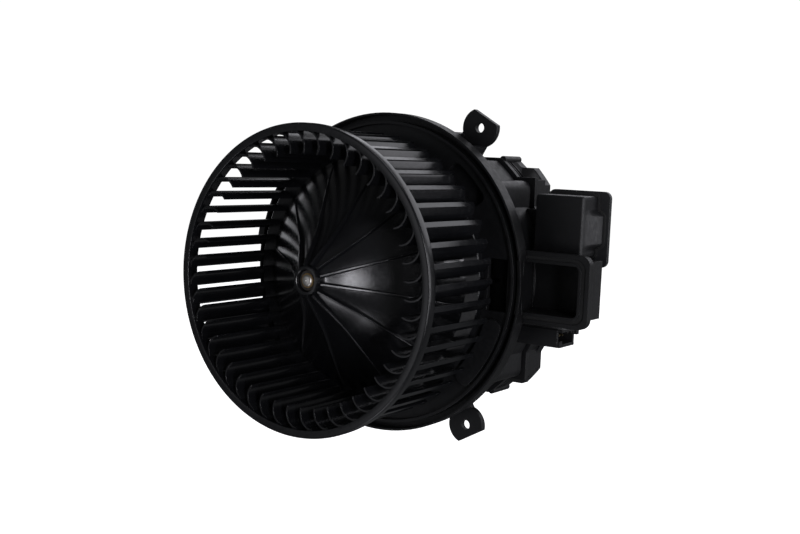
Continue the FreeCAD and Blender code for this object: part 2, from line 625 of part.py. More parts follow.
def duct_seal():
    """A foam strip in the groove between the mouth's two lips."""
    along_y = Vector(0, 1, 0)
    front = "frame_front_y - lip_height + 0.6"
    outer = block("seal_outer", ("frame_left + outer_lip_width", "frame_right - outer_lip_width"),
                  (front, "frame_front_y"),
                  ("outer_lip_width - frame_half_height", "frame_half_height - outer_lip_width"))
    inner = opening_block("seal_inner", "inner_lip_width", "frame_front_y - lip_height - 1",
                          "frame_front_y + 1")
    return cut("seal", rounded("seal_outer_round", outer, "frame_corner", along_y),
               rounded("seal_inner_round", inner, "frame_corner", along_y))


# ---------------------------------------------------------------- regulator

def regulator_housing():
    """The electronics box, open at the back; a bracket holds it beside the drum."""
    body = block("box_body", ("box_left", "box_right"), ("0", "box_back_y"), ("box_low", "box_high"))
    doc.recompute()
    edges = []
    for i, edge in enumerate(body.Shape.Edges, start=1):
        middle = edge.CenterOfMass
        if middle.y < 0.01:
            edges.append((i, size("box_edge"), size("box_edge")))
    bevelled = new("Part::Chamfer", "box_bevelled")
    bevelled.Base = body
    bevelled.Edges = edges
    bulge = new("Part::Wedge", "box_bulge", Xmin="box_right - 1", Xmax="box_right", Ymin="bulge_front_y",
                Ymax="box_back_y", Zmin="bulge_low", Zmax="bulge_high", X2min="box_right - 1",
                X2max="box_right + bulge_out", Z2min="bulge_low", Z2max="bulge_high")
    room = block("box_room", ("box_left + box_wall", "box_right - box_wall"), ("box_wall", "box_back_y + 1"),
                 ("box_low + box_wall", "box_high - box_wall"))
    bracket = block("box_bracket", ("drum_side - 2", "box_left + 1"), ("bracket_front_y", "box_back_y"),
                    ("bracket_low", "bracket_high"))
    posts = [rod(f"box_post_{k}", "box_post_radius", "box_wall - 0.5", "box_back_y", x="box_post_x", z=z)
             for k, z in enumerate(BOX_POSTS)]
    holes = [rod(f"box_post_hole_{k}", "screw_radius", "box_back_y - 7", "box_back_y + 1",
                 x="box_post_x", z=z) for k, z in enumerate(BOX_POSTS)]
    shell = cut("box_shell", fuse("box_blank", bevelled, bulge), room)
    whole = fuse("box_whole", shell, bracket, *posts)
    return cut("regulator_box", whole, drum_envelope("box_clearance"), *holes)


def regulator_lid():
    """The rear plate of the regulator, wider than its box."""
    plate = rounded("lid_plate", block("lid_blank", ("lid_left", "lid_right"),
                                       ("box_back_y", "box_back_y + lid_thickness"), ("lid_low", "lid_high")),
                    "lid_corner", Vector(0, 1, 0))
    back = "box_back_y + lid_thickness + 1"
    holes = [rod(f"lid_hole_{k}", "screw_radius + 0.1", "box_back_y - 1", back, x="box_post_x", z=z)
             for k, z in enumerate(BOX_POSTS)]
    clearance = rod("lid_drum_clearance", "cover_radius + rim_height + 0.1", "box_back_y - 1", back)
    return cut("lid", plate, clearance, *holes)


def regulator_screws():
    face = "box_back_y + lid_thickness"
    pair = new("Part::Compound", "regulator_screw_set")
    pair.Links = [screw(f"regulator_screw_{k}", "box_post_x", z, face, "8") for k, z in enumerate(BOX_POSTS)]
    return pair


def regulator_heat_sink():
    face = "box_back_y + lid_thickness"
    parts = [block("sink_base", ("sink_left", "sink_right"), (face, f"{face} + sink_base"),
                   ("sink_low", "sink_high"))]
    count = int(size("sink_fins"))
    for k in range(count):
        low = f"sink_low + (sink_high - sink_low - fin_thickness) * {k} / {count - 1}"
        parts.append(block(f"sink_fin_{k}", ("sink_left", "sink_right"), (f"{face} + sink_base - 0.5",
                     f"{face} + sink_depth"), (low, f"{low} + fin_thickness")))
    return fuse("heat_sink", *parts)


def regulator_board():
    board = block("board_plate", ("board_left", "board_right"),
                  ("board_front_y", "board_front_y + board_thickness"), ("board_low", "board_high"))
    notches = [rod(f"board_notch_{k}", "box_post_radius + 0.3", "board_front_y - 1", "board_front_y + 4",
                   x="box_post_x", z=z) for k, z in enumerate(BOX_POSTS)]
    return cut("board", board, *notches)


def regulator_transistors():
    """Two power transistors between the board and the lid."""
    pair = new("Part::Compound", "transistor_pair")
    depth = ("board_front_y + board_thickness", "box_back_y")
    pair.Links = [block(f"transistor_{k}", ("84", "94"), depth, height)
                  for k, height in enumerate((("20", "29"), ("32", "41")))]
    return pair


def regulator_capacitor():
    return rod("capacitor", "4.5", "box_wall + 1", "board_front_y", x="93", z="26")


def regulator_choke():
    return tube("choke", "4.5", "1.5", "box_wall + 2", "board_front_y", x="86.5", z="36")


def connector_housing():
    """The plug socket under the duct; its mouth faces right."""
    body = block("socket_body", ("drum_side - 2", "socket_right"), ("socket_front_y", "socket_back_y"),
                 ("socket_low", "socket_high"))
    mouth = block("socket_mouth", ("socket_right - socket_depth", "socket_right + 1"),
                  ("socket_front_y + socket_wall", "socket_back_y - socket_wall"),
                  ("socket_low + socket_wall", "socket_high - socket_wall"))
    return cut("socket", rounded("socket_round", body, "box_edge", Vector(1, 0, 0)), mouth,
               drum_envelope("socket_clearance"))


def connector_terminals():
    """A row of flat pins on the socket's floor."""
    pitch = "(socket_back_y - socket_front_y - 2 * socket_wall) / pin_count"
    floor, middle = "socket_right - socket_depth", "(socket_low + socket_high) / 2"
    pins = []
    for k in range(int(size("pin_count"))):
        low = f"socket_front_y + socket_wall + {pitch} * {k + 0.5} - pin_width / 2"
        pins.append(block(f"pin_{k}", (floor, f"{floor} + pin_length"), (low, f"{low} + pin_width"),
                          (f"{middle} - 0.4", f"{middle} + 0.4")))
    row = new("Part::Compound", "pin_row")
    row.Links = pins
    return row


node("wheel_front_ring", wheel_front_ring())
node("wheel_blades", wheel_blades())
node("wheel_hub", wheel_hub())
node("motor_shaft", shaft())
node("wheel_clip", wheel_clip())
node("motor_can", motor_can())
node("front_bearing", bearing("bearing_front", "can_front_y - boss_length + 0.5", "can_front_y + can_wall"))
node("rear_bearing", bearing("bearing_rear", "can_back_y - 1", "can_back_y + boss_length"))
node("motor_end_cap", motor_end_cap())
node("field_magnets", field_magnets())
node("armature_core", armature_core())
node("armature_windings", armature_windings())
node("commutator", commutator())
node("carbon_brushes", brushes())
node("brush_springs", brush_springs())
node("brush_card", brush_card())
node("motor_terminals", motor_terminals())
node("front_isolator", isolator("isolator_front", "sleeve_front_y", "sleeve_front_y + 8"))
node("rear_isolator", isolator("isolator_rear", "can_back_y - 8", "can_back_y"))
node("motor_retainer", motor_retainer())
node("motor_screws", motor_screws())
node("carrier_flange", carrier_flange())
node("carrier_drum", carrier_drum())
node("motor_sleeve", motor_sleeve())
node("screw_ears", screw_ears())
node("rear_cover", rear_cover())
node("cooling_duct", cooling_duct())
node("duct_seal", duct_seal())
node("regulator_housing", regulator_housing())
node("regulator_lid", regulator_lid())
node("regulator_screws", regulator_screws())
node("regulator_heat_sink", regulator_heat_sink())
node("regulator_board", regulator_board())
node("regulator_transistors", regulator_transistors())
node("regulator_capacitor", regulator_capacitor())
node("regulator_choke", regulator_choke())
node("connector_housing", connector_housing())
node("connector_terminals", connector_terminals())
doc.recompute()

for thing in doc.Objects:
    bad = [state for state in thing.State if state in ("Invalid", "Error")]
    if bad:
        raise RuntimeError(f"{thing.Name} is {bad}")
os.makedirs("parts", exist_ok=True)
for thing in NODES:
    shape = thing.Shape
    if shape.isNull() or not shape.isValid() or not shape.Solids:
        raise RuntimeError(f"{thing.Label} has no valid solid")
    shape.exportStep(f"parts/{thing.Label}.step")
    print(f"{thing.Label}: {len(shape.Solids)} solids, {shape.Volume / 1000:.2f} cm3")
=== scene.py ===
"""Looks of the cabin blower: wheel, carrier, rear cover, cooling duct, regulator and plug socket.

Sizes are in millimetres in the row frame (the wheel spins about Y, its inlet faces -Y, +Z is up)
and become metres when a mesh is made.
"""

import json
import math

import bmesh
import bpy
import numpy as np
from mathutils import Matrix, Vector


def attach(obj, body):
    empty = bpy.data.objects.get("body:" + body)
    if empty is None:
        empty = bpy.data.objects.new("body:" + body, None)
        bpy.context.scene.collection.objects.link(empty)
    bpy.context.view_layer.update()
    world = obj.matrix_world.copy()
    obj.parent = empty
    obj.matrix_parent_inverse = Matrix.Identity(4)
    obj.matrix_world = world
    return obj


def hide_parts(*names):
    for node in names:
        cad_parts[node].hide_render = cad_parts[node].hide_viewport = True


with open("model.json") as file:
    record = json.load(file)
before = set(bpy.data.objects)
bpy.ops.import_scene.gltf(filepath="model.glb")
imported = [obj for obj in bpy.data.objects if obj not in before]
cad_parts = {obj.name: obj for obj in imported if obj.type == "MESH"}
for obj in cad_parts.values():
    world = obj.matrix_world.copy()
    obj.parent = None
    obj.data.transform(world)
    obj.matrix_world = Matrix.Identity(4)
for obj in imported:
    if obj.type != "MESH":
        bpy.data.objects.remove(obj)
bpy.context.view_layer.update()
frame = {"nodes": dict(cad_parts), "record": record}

MM = 0.001
FULL_TURN = 2 * math.pi
CLOUD_SCALE, GRAIN_HEIGHT = 45.0, 0.08 * MM


# ---------------------------------------------------------------- materials

def new_material(name):
    material = bpy.data.materials.new(name)
    material.use_nodes = True
    tree = material.node_tree
    tree.nodes.clear()
    out = tree.nodes.new("ShaderNodeOutputMaterial")
    shader = tree.nodes.new("ShaderNodeBsdfPrincipled")
    tree.links.new(shader.outputs["BSDF"], out.inputs["Surface"])
    return material, tree, shader


def noise(tree, scale, detail=3.0, stretch=(1, 1, 1)):
    """Noise over the piece's own coordinates; scale is in cells per metre."""
    place = tree.nodes.new("ShaderNodeTexCoord")
    mapping = tree.nodes.new("ShaderNodeMapping")
    mapping.inputs["Scale"].default_value = stretch
    texture = tree.nodes.new("ShaderNodeTexNoise")
    texture.inputs["Scale"].default_value = scale
    texture.inputs["Detail"].default_value = detail
    tree.links.new(place.outputs["Object"], mapping.inputs["Vector"])
    tree.links.new(mapping.outputs["Vector"], texture.inputs["Vector"])
    return texture.outputs["Fac"]


def ramp(tree, factor, low, high):
    """The factor spread over a range of numbers or of colours."""
    start, stop = 0.3, 0.7
    if isinstance(low, (int, float)):
        node = tree.nodes.new("ShaderNodeMapRange")
        node.inputs["From Min"].default_value = start
        node.inputs["From Max"].default_value = stop
        node.inputs["To Min"].default_value = low
        node.inputs["To Max"].default_value = high
        tree.links.new(factor, node.inputs["Value"])
        return node.outputs["Result"]
    node = tree.nodes.new("ShaderNodeValToRGB")
    node.color_ramp.elements[0].position, node.color_ramp.elements[1].position = start, stop
    node.color_ramp.elements[0].color = (*low, 1)
    node.color_ramp.elements[1].color = (*high, 1)
    tree.links.new(factor, node.inputs["Fac"])
    return node.outputs["Color"]


def surface(name, dark, light, rough, grain=2600.0, grain_depth=0.12, metallic=0.0, specular=0.5,
            edge=0.0, stretch=(1, 1, 1)):
    """A material with cloudy colour, uneven gloss and a fine grain.

    dark and light are the ends of its colour, rough those of its roughness, and edge is the radius
    in mm that softens its corners."""
    material, tree, shader = new_material(name)
    cloud = noise(tree, CLOUD_SCALE, 4.0, stretch)
    tree.links.new(ramp(tree, cloud, dark, light), shader.inputs["Base Color"])
    speck = noise(tree, grain / 5, 2.0, stretch)
    tree.links.new(ramp(tree, speck, rough[0], rough[1]), shader.inputs["Roughness"])
    shader.inputs["Metallic"].default_value = metallic
    shader.inputs["Specular IOR Level"].default_value = specular
    bump = tree.nodes.new("ShaderNodeBump")
    bump.inputs["Strength"].default_value = grain_depth
    bump.inputs["Distance"].default_value = GRAIN_HEIGHT
    tree.links.new(noise(tree, grain, 2.0, stretch), bump.inputs["Height"])
    if edge:
        bevel = tree.nodes.new("ShaderNodeBevel")
        bevel.samples = 6
        bevel.inputs["Radius"].default_value = edge * MM
        tree.links.new(bevel.outputs["Normal"], bump.inputs["Normal"])
    tree.links.new(bump.outputs["Normal"], shader.inputs["Normal"])
    return material


# Each material: the two ends of its colour and of its roughness, then what is not as usual.
SURFACES = {
    "wheel_plastic": ((0.0045, 0.0047, 0.0055), (0.0075, 0.0078, 0.009), (0.18, 0.25),
                      {"specular": 0.6, "edge": 0.2}),
    "housing_plastic": ((0.0045, 0.0046, 0.005), (0.0075, 0.0077, 0.0085), (0.38, 0.5),
                        {"specular": 0.38, "edge": 0.35}),
    "card_plastic": ((0.06, 0.05, 0.04), (0.1, 0.09, 0.07), (0.5, 0.6), {}),
    "lid_metal": ((0.012, 0.012, 0.013), (0.02, 0.021, 0.022), (0.35, 0.5), {"edge": 0.3}),
    "heat_sink": ((0.42, 0.43, 0.45), (0.58, 0.59, 0.6), (0.35, 0.5), {"metallic": 1.0, "edge": 0.2}),
    "foam": ((0.004, 0.004, 0.004), (0.012, 0.012, 0.012), (0.85, 0.95),
             {"grain": 1500.0, "grain_depth": 0.6}),
    "screw_steel": ((0.42, 0.42, 0.43), (0.6, 0.6, 0.61), (0.25, 0.4), {"metallic": 1.0}),
    "can_steel": ((0.3, 0.31, 0.32), (0.42, 0.43, 0.44), (0.3, 0.45),
                  {"metallic": 1.0, "stretch": (1, 0.1, 1)}),
    "shaft_steel": ((0.62, 0.6, 0.57), (0.8, 0.78, 0.74), (0.3, 0.42),
                    {"metallic": 1.0, "stretch": (1, 8, 1)}),
    "core_steel": ((0.06, 0.055, 0.05), (0.13, 0.12, 0.11), (0.4, 0.5),
                   {"metallic": 1.0, "stretch": (1, 30, 1)}),
    "board": ((0.012, 0.08, 0.03), (0.02, 0.12, 0.05), (0.25, 0.35), {}),
    "component_black": ((0.008, 0.008, 0.009), (0.02, 0.02, 0.02), (0.3, 0.4), {}),
    "component_metal": ((0.5, 0.5, 0.52), (0.65, 0.65, 0.66), (0.2, 0.3), {"metallic": 1.0}),
    "contact_metal": ((0.6, 0.5, 0.3), (0.8, 0.68, 0.42), (0.2, 0.35), {"metallic": 1.0}),
    "bearing_metal": ((0.4, 0.26, 0.12), (0.6, 0.42, 0.2), (0.4, 0.55), {"metallic": 1.0}),
    "magnet": ((0.05, 0.05, 0.05), (0.09, 0.09, 0.09), (0.5, 0.7), {}),
    "carbon": ((0.02, 0.02, 0.02), (0.05, 0.05, 0.05), (0.45, 0.6), {}),
    "rubber": ((0.008, 0.008, 0.008), (0.016, 0.016, 0.016), (0.7, 0.8), {}),
    "copper": ((0.5, 0.2, 0.08), (0.75, 0.34, 0.16), (0.3, 0.45),
               {"metallic": 1.0, "stretch": (1, 0.2, 1)}),
}
LOOKS = {name: surface(name, dark, light, rough, **more)
         for name, (dark, light, rough, more) in SURFACES.items()}

NODE_SLOT = {part["node"]: part["material_slot"] for part in frame["record"]["subparts"]}
for node_name, node_object in frame["nodes"].items():
    node_object.data.materials.clear()
    node_object.data.materials.append(LOOKS[NODE_SLOT[node_name]])


# ---------------------------------------------------------------- mesh helpers

def piece(name, points, faces, body, slot, sharp=35.0, replaces=()):
    """A shown piece: points in mm, riding on a body, with the material of one slot."""
    mesh = bpy.data.meshes.new(name)
    mesh.from_pydata([tuple(p * MM for p in point) for point in points], [], faces)
    mesh.validate()
    work = bmesh.new()
    work.from_mesh(mesh)
    bmesh.ops.recalc_face_normals(work, faces=work.faces)
    work.to_mesh(mesh)
    work.free()
    mesh.polygons.foreach_set("use_smooth", [True] * len(mesh.polygons))
    mesh.set_sharp_from_angle(angle=math.radians(sharp))
    thing = bpy.data.objects.new(name, mesh)
    bpy.context.scene.collection.objects.link(thing)
    mesh.materials.append(LOOKS[slot])
    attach(thing, body)
    if replaces:
        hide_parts(*replaces)
    return thing


def grid_faces(rows, columns, wrap_rows, wrap_columns):
    """Quads over a grid of rows by columns; either way may close on itself."""
    faces = []
    for i in range(rows if wrap_rows else rows - 1):
        for j in range(columns if wrap_columns else columns - 1):
            a, b = i * columns + j, i * columns + (j + 1) % columns
            c, d = ((i + 1) % rows) * columns + (j + 1) % columns, ((i + 1) % rows) * columns + j
            faces.append((a, b, c, d))
    return faces


def bar_faces(rows, columns):
    """The sides of a bar over rows of a closed section, and its two ends."""
    total = rows * columns
    ends = [tuple(range(columns)), tuple(range(total - 1, total - columns - 1, -1))]
    return grid_faces(rows, columns, False, True) + ends


def merged(parts):
    """One list of points and one of faces from several."""
    points, faces = [], []
    for part_points, part_faces in parts:
        start = len(points)
        points.extend(part_points)
        faces.extend(tuple(i + start for i in face) for face in part_faces)
    return points, faces


def round_corners(corners, steps=4):
    """A closed outline from corners (u, v, radius), each corner rounded by its radius."""
    outline = []
    count = len(corners)
    for k, (u, v, radius) in enumerate(corners):
        here = np.array((u, v), float)
        before = np.array(corners[k - 1][:2], float) - here
        after = np.array(corners[(k + 1) % count][:2], float) - here
        if radius <= 0:
            outline.append(here)
            continue
        reach_before, reach_after = np.linalg.norm(before), np.linalg.norm(after)
        before, after = before / reach_before, after / reach_after
        half = math.acos(max(-1.0, min(1.0, float(before @ after)))) / 2
        back = min(radius / math.tan(half), reach_before * 0.49, reach_after * 0.49)
        start, stop = here + before * back, here + after * back
        for s in np.linspace(0, 1, steps + 1):
            outline.append((1 - s) ** 2 * start + 2 * s * (1 - s) * here + s ** 2 * stop)
    return [tuple(p) for p in outline]


def turned(profile, steps, closed=True):
    """A surface of revolution about Y of a profile of (radius, y)."""
    points = []
    for k in range(steps):
        angle = FULL_TURN * k / steps
        for radius, y in profile:
            points.append((radius * math.cos(angle), y, radius * math.sin(angle)))
    return points, grid_faces(steps, len(profile), True, closed)


def prism(outline, low, high, axis="y"):
    """A solid between two planes across Y or X, from a closed outline in the other two axes."""
    count = len(outline)
    if axis == "x":
        points = [(w, u, v) for w in (low, high) for u, v in outline]
    else:
        points = [(u, w, v) for w in (low, high) for u, v in outline]
    faces = [tuple(range(count)), tuple(range(2 * count - 1, count - 1, -1))]
    faces += [(i, (i + 1) % count, count + (i + 1) % count, count + i) for i in range(count)]
    return points, faces


def spun(part, angle):
    """A copy of (points, faces), turned about Y from +X towards +Z."""
    c, s = math.cos(angle), math.sin(angle)
    return [(x * c - z * s, y, x * s + z * c) for x, y, z in part[0]], part[1]


def softened(thing, width, segments, angle):
    """Rounds the edges of a piece with a bevel, where they are sharper than an angle in degrees."""
    bevel = thing.modifiers.new("edges", "BEVEL")
    bevel.width = width * MM
    bevel.segments = segments
    bevel.limit_method = "ANGLE"
    bevel.angle_limit = math.radians(angle)
    bevel.harden_normals = False
    return thing


# ---------------------------------------------------------------- wheel

WHEEL_RADIUS, WHEEL_FRONT = 75.0, -87.8
RING_FACE, RING_DEPTH, RING_INNER, WALL_INNER = 1.6, 5.0, 71.0, 71.6
RING_LIP_DEPTH, RING_LIP_OUTER = 7.2, 72.3
BLADES, FIRST_BLADE, BLADE_END, BLADE_BACK, BLADE_THICKNESS = 47, 5.6, 71.6, -28.5, 0.85
# The arc of a blade's middle line: its centre as z and x, its radius and its two ends in degrees.
ARC_SIDE, ARC_HEIGHT, ARC_RADIUS = 7.24, 63.39, 7.69
ARC_START, ARC_FINISH, END_SIDE = 199.7, 101.0, 5.95
ROOT_START, ROOT_GROWTH = 70.2, 0.45
DISC_FRONT, DISC_BACK, DISC_RADIUS, SKIRT_WALL = -33.5, -31.5, 68.3, 1.8
COLLAR_RADIUS, COLLAR_FRONT, RECESS_RADIUS, RECESS_DEPTH = 7.1, -81.5, 5.3, 3.0
# The dome's outer face as (radius, y), and how far inwards and back its inner face lies.
DOME_WALL_IN, DOME_WALL_BACK = 1.4, 2.3
DOME = [(6.9, -76.9), (9.0, -75.1), (14.0, -70.7), (20.0, -65.1), (25.0, -60.8), (30.0, -57.1),
        (38.0, -51.5), (46.0, -45.7), (53.0, -40.5), (58.0, -35.9), (60.0, -33.8)]
RIBS, FIRST_RIB, RIB_START, RIB_END = 12, 20.8, 7.0, 59.0
RIB_HEIGHT, RIB_RISE, RIB_HALF_WIDTH, RIB_SPREAD = 0.3, 2.2, 0.5, 0.6
SHAFT_FRONT, SHAFT_BACK, SHAFT_RADIUS, SHAFT_HOLE = -80.8, 19.0, 3.0, 3.02
CLIP_RADIUS, CLIP_TEETH, CLIP_TOOTH = 5.1, 8, 0.55
BUSH_RADIUS, BUSH_FRONT = 3.55, COLLAR_FRONT + 1.7


def dome_y(radius):
    """The dome's outer face at a radius, as a smooth curve through DOME."""
    radii = [r for r, _ in DOME]
    k = min(max(int(np.searchsorted(radii, radius)) - 1, 0), len(DOME) - 2)
    (r0, y0), (r1, y1) = DOME[k], DOME[k + 1]

    def slope(i):
        low, high = DOME[max(i - 1, 0)], DOME[min(i + 1, len(DOME) - 1)]
        return (high[1] - low[1]) / (high[0] - low[0])

    step = r1 - r0
    s = (radius - r0) / step
    return ((2 * s ** 3 - 3 * s ** 2 + 1) * y0 + (s ** 3 - 2 * s ** 2 + s) * step * slope(k)
            + (3 * s ** 2 - 2 * s ** 3) * y1 + (s ** 3 - s ** 2) * step * slope(k + 1))


def make_front_ring():
    """The ring that joins the blades at the inlet, with a deeper lip behind its inner edge."""
    ring_back, lip_back = WHEEL_FRONT + RING_DEPTH, WHEEL_FRONT + RING_LIP_DEPTH
    face_back = WHEEL_FRONT + RING_FACE
    profile = round_corners([
        (RING_INNER, WHEEL_FRONT, 0.35), (WHEEL_RADIUS, WHEEL_FRONT, 0.9),
        (WHEEL_RADIUS, ring_back, 0.4), (RING_LIP_OUTER, ring_back, 0.2),
        (RING_LIP_OUTER, lip_back, 0.2), (WALL_INNER, lip_back, 0.2),
        (WALL_INNER, face_back, 0.4), (RING_INNER, face_back, 0.3)])
    return piece("wheel_ring_front", *turned(profile, 376), "fan", "wheel_plastic",
                 replaces=["wheel_front_ring"])


def blade_section():
    """One blade's outline in the plane of the wheel, as (x, z) for a blade near the +X axis."""
    middle = [(ARC_HEIGHT + ARC_RADIUS * math.sin(a), ARC_SIDE + ARC_RADIUS * math.cos(a))
              for a in np.radians(np.linspace(ARC_START, ARC_FINISH, 20))]
    middle.append((BLADE_END + 0.4, END_SIDE))
    sides = ([], [])
    for k, (u, v) in enumerate(middle):
        (u0, v0), (u1, v1) = middle[max(k - 1, 0)], middle[min(k + 1, len(middle) - 1)]
        along = math.hypot(u1 - u0, v1 - v0)
        half = BLADE_THICKNESS / 2 + ROOT_GROWTH * max(0.0, math.hypot(u, v) - ROOT_START)
        sides[0].append((u + (v1 - v0) / along * half, v - (u1 - u0) / along * half))
        sides[1].append((u - (v1 - v0) / along * half, v + (u1 - u0) / along * half))
    tip = (middle[0][0] - 0.3, middle[0][1])
    return [tip] + sides[0] + sides[1][::-1]


def make_blades():
    """Blades from the ring to the disc; outside the disc's edge they run on to its back."""
    front = WHEEL_FRONT + RING_FACE - 0.1
    section = blade_section()
    outer_part = [(max(u, DISC_RADIUS - 1.0), v) for u, v in section if u > DISC_RADIUS - 2.2]
    blade = merged([prism(section, front, DISC_FRONT + 0.2),
                    prism(outer_part, DISC_FRONT + 0.1, BLADE_BACK)])
    pitch = FULL_TURN / BLADES
    blades = [spun(blade, math.radians(FIRST_BLADE) + k * pitch) for k in range(BLADES)]
    thing = piece("wheel_blade_set", *merged(blades), "fan", "wheel_plastic", replaces=["wheel_blades"])
    return softened(thing, 0.12, 1, 50.0)


def make_hub():
    """Collar, dome and the disc that the blades stand on, as one closed surface of revolution."""
    dome_outer = [(r, dome_y(r)) for r in np.linspace(8.4, 59.6, 44)]
    collar = [(RECESS_RADIUS, COLLAR_FRONT + 0.3), (RECESS_RADIUS + 0.3, COLLAR_FRONT),
              (COLLAR_RADIUS - 0.6, COLLAR_FRONT), (COLLAR_RADIUS - 0.18, COLLAR_FRONT + 0.18),
              (COLLAR_RADIUS, COLLAR_FRONT + 0.6), (COLLAR_RADIUS, -77.9), (COLLAR_RADIUS + 0.1, -77.2),
              (COLLAR_RADIUS + 0.5, -76.4)]
    skirt_inner = DISC_RADIUS - SKIRT_WALL
    disc = [(60.6, DISC_FRONT + 0.02), (DISC_RADIUS - 0.3, DISC_FRONT), (DISC_RADIUS, DISC_FRONT + 0.3),
            (DISC_RADIUS, BLADE_BACK - 0.3), (DISC_RADIUS - 0.3, BLADE_BACK),
            (skirt_inner + 0.3, BLADE_BACK), (skirt_inner, BLADE_BACK - 0.3),
            (skirt_inner, DISC_BACK + 0.4), (skirt_inner - 0.4, DISC_BACK), (58.0, DISC_BACK)]
    dome_inner = [(r - DOME_WALL_IN, dome_y(r) + DOME_WALL_BACK) for r in np.linspace(57.0, 10.0, 20)]
    recess_back = COLLAR_FRONT + RECESS_DEPTH
    bore = [(7.2, -71.5), (6.0, -67.5), (SHAFT_HOLE, -67.5), (SHAFT_HOLE, recess_back),
            (RECESS_RADIUS - 0.2, recess_back), (RECESS_RADIUS, recess_back - 0.2)]
    profile = collar + dome_outer + disc + dome_inner + bore
    return piece("wheel_hub_shell", *turned(profile, 288), "fan", "wheel_plastic", replaces=["wheel_hub"])


def make_hub_ribs():
    """Radial ribs on the dome: tall and wide at the collar, low and narrow at the rim."""
    section = [(-1.0, -0.6), (-0.85, 0.6), (-0.4, 1.0), (0.4, 1.0), (0.85, 0.6), (1.0, -0.6)]
    ribs = []
    for k in range(RIBS):
        angle = math.radians(FIRST_RIB + k * 360.0 / RIBS)
        along, across = (math.cos(angle), math.sin(angle)), (-math.sin(angle), math.cos(angle))
        points = []
        stations = np.linspace(RIB_START - 0.8, RIB_END, 40)
        for radius in stations:
            reach_left = (RIB_END - radius) / (RIB_END - RIB_START)
            height = RIB_HEIGHT + RIB_RISE * reach_left ** 1.2
            half_width = RIB_HALF_WIDTH + RIB_SPREAD * reach_left
            slope = dome_y(radius + 0.5) - dome_y(radius - 0.5)
            normal_y, normal_r = -1 / math.hypot(1, slope), slope / math.hypot(1, slope)
            for side, lift in section:
                reach = radius + normal_r * lift * height
                y = dome_y(radius) + normal_y * lift * height
                width = side * half_width
                points.append((reach * along[0] + width * across[0], y,
                               reach * along[1] + width * across[1]))
        ribs.append((points, bar_faces(len(stations), len(section))))
    return piece("wheel_hub_ribs", *merged(ribs), "fan", "wheel_plastic", sharp=50.0)


def make_shaft():
    """The motor shaft, with a rounded front end and a small centre mark."""
    profile = [(0.0, SHAFT_FRONT + 0.5), (0.35, SHAFT_FRONT + 0.2), (0.45, SHAFT_FRONT),
               (1.6, SHAFT_FRONT + 0.06), (2.4, SHAFT_FRONT + 0.25), (2.8, SHAFT_FRONT + 0.6),
               (SHAFT_RADIUS, SHAFT_FRONT + 1.1), (SHAFT_RADIUS, SHAFT_BACK - 0.6),
               (SHAFT_RADIUS - 0.4, SHAFT_BACK), (0.0, SHAFT_BACK)]
    return piece("shaft_turned", *turned(profile, 72, closed=False), "fan", "shaft_steel",
                 replaces=["motor_shaft"])


def make_clip():
    """The spring washer in the collar's recess: a dished ring with a toothed bore."""
    back, steps = COLLAR_FRONT + RECESS_DEPTH, 144
    points = []
    for k in range(steps):
        angle = FULL_TURN * k / steps
        inner = SHAFT_HOLE + CLIP_TOOTH * ((k * CLIP_TEETH * 2 // steps) % 2)
        section = ((inner, back - 0.78), (4.0, back - 0.62), (CLIP_RADIUS - 0.25, back - 0.8),
                   (CLIP_RADIUS, back - 0.55), (CLIP_RADIUS, back), (inner, back))
        points += [(radius * math.cos(angle), y, radius * math.sin(angle)) for radius, y in section]
    return piece("collar_washer", points, grid_faces(steps, 6, True, True), "fan", "core_steel",
                 replaces=["wheel_clip"])


def make_bush():
    """A thin bronze bush round the shaft, at the bottom of the collar's recess."""
    back = COLLAR_FRONT + RECESS_DEPTH
    profile = [(SHAFT_HOLE, back), (SHAFT_HOLE, BUSH_FRONT), (BUSH_RADIUS - 0.2, BUSH_FRONT),
               (BUSH_RADIUS, BUSH_FRONT + 0.25), (BUSH_RADIUS, back)]
    return piece("collar_bush", *turned(profile, 72), "fan", "bearing_metal")


make_front_ring()
make_blades()
make_hub()
make_hub_ribs()
make_shaft()
make_clip()
make_bush()


# ---------------------------------------------------------------- carrier drum

DRUM_RADIUS, DRUM_SIDE, DRUM_FLAT, DRUM_SHOULDER = 76.0, 66.0, 60.5, 51.0
DRUM_FRONT, DRUM_BACK, DRUM_WALL, SHOULDER_CORNER = -14.0, 19.0, 2.2, 5.0
SEAM_FRONT, SEAM_DEPTH = 17.2, 1.5
PORT_FRONT, PORT_BACK, PORT_HALF_HEIGHT = -6.2, 9.2, 12.4


def drum_outline(inset):
    """The drum's outline, moved inwards; the port's two sides are its first two points."""
    sizes = (DRUM_RADIUS, DRUM_SIDE, DRUM_FLAT, DRUM_SHOULDER)
    radius, side, flat, shoulder = (size - inset for size in sizes)
    low, high = math.asin(shoulder / radius), math.asin(flat / radius)
    port, meet = math.asin(PORT_HALF_HEIGHT / radius), math.acos(side / radius)

    def arc(start, stop, count):
        return [(radius * math.cos(a), radius * math.sin(a), 0.0) for a in np.linspace(start, stop, count)]

    corners = arc(-port, port, 2) + arc(port, meet, 8)[1:] + [(side, shoulder, SHOULDER_CORNER)]
    corners += arc(low, high, 7) + arc(math.pi - high, math.pi + high, 44) + arc(-high, -low, 7)
    corners += [(side, -shoulder, SHOULDER_CORNER)] + arc(-meet, -port, 8)[:-1]
    return round_corners(corners, 6)


